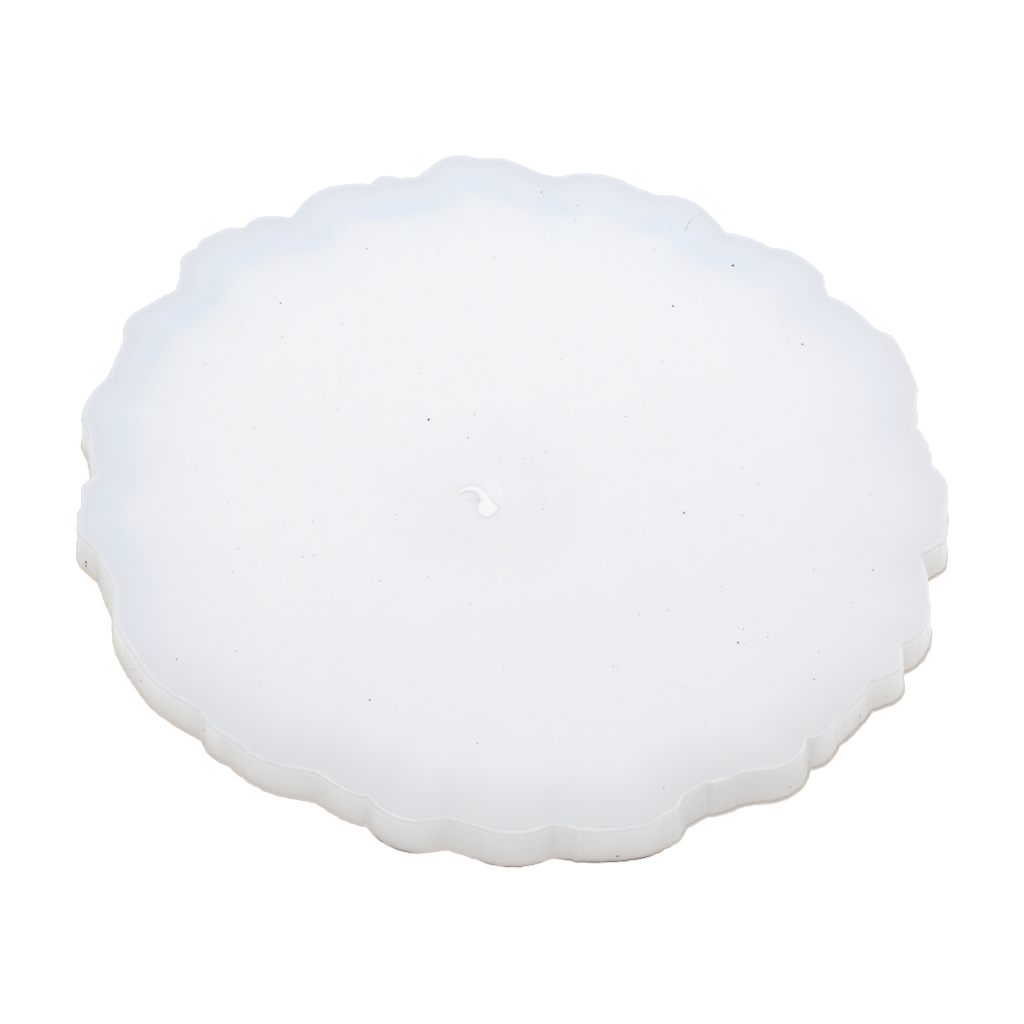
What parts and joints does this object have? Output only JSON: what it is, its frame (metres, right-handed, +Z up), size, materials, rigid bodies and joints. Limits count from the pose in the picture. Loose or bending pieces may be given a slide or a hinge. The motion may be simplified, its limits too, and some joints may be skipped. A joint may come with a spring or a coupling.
{
  "type": "resin casting mould",
  "caption": "Silicone casting mould for a round, wavy-edged tray, with a flat back, a thin lip round its mouth and a shallow casting cavity.",
  "frame": {"origin": "middle of the plan, on the mouth plane that the mould lies on", "axes": "+Z up, out of the flat back face; the cavity opens towards -Z; +X and +Y lie in the plan, across its two nearly equal widths"},
  "size_m": [0.2208, 0.2201, 0.012],
  "materials": {
    "milky_silicone": "satin, milky translucent"
  },
  "bodies": {
    "root": {"mould_body": "milky_silicone"}
  },
  "joints": []
}
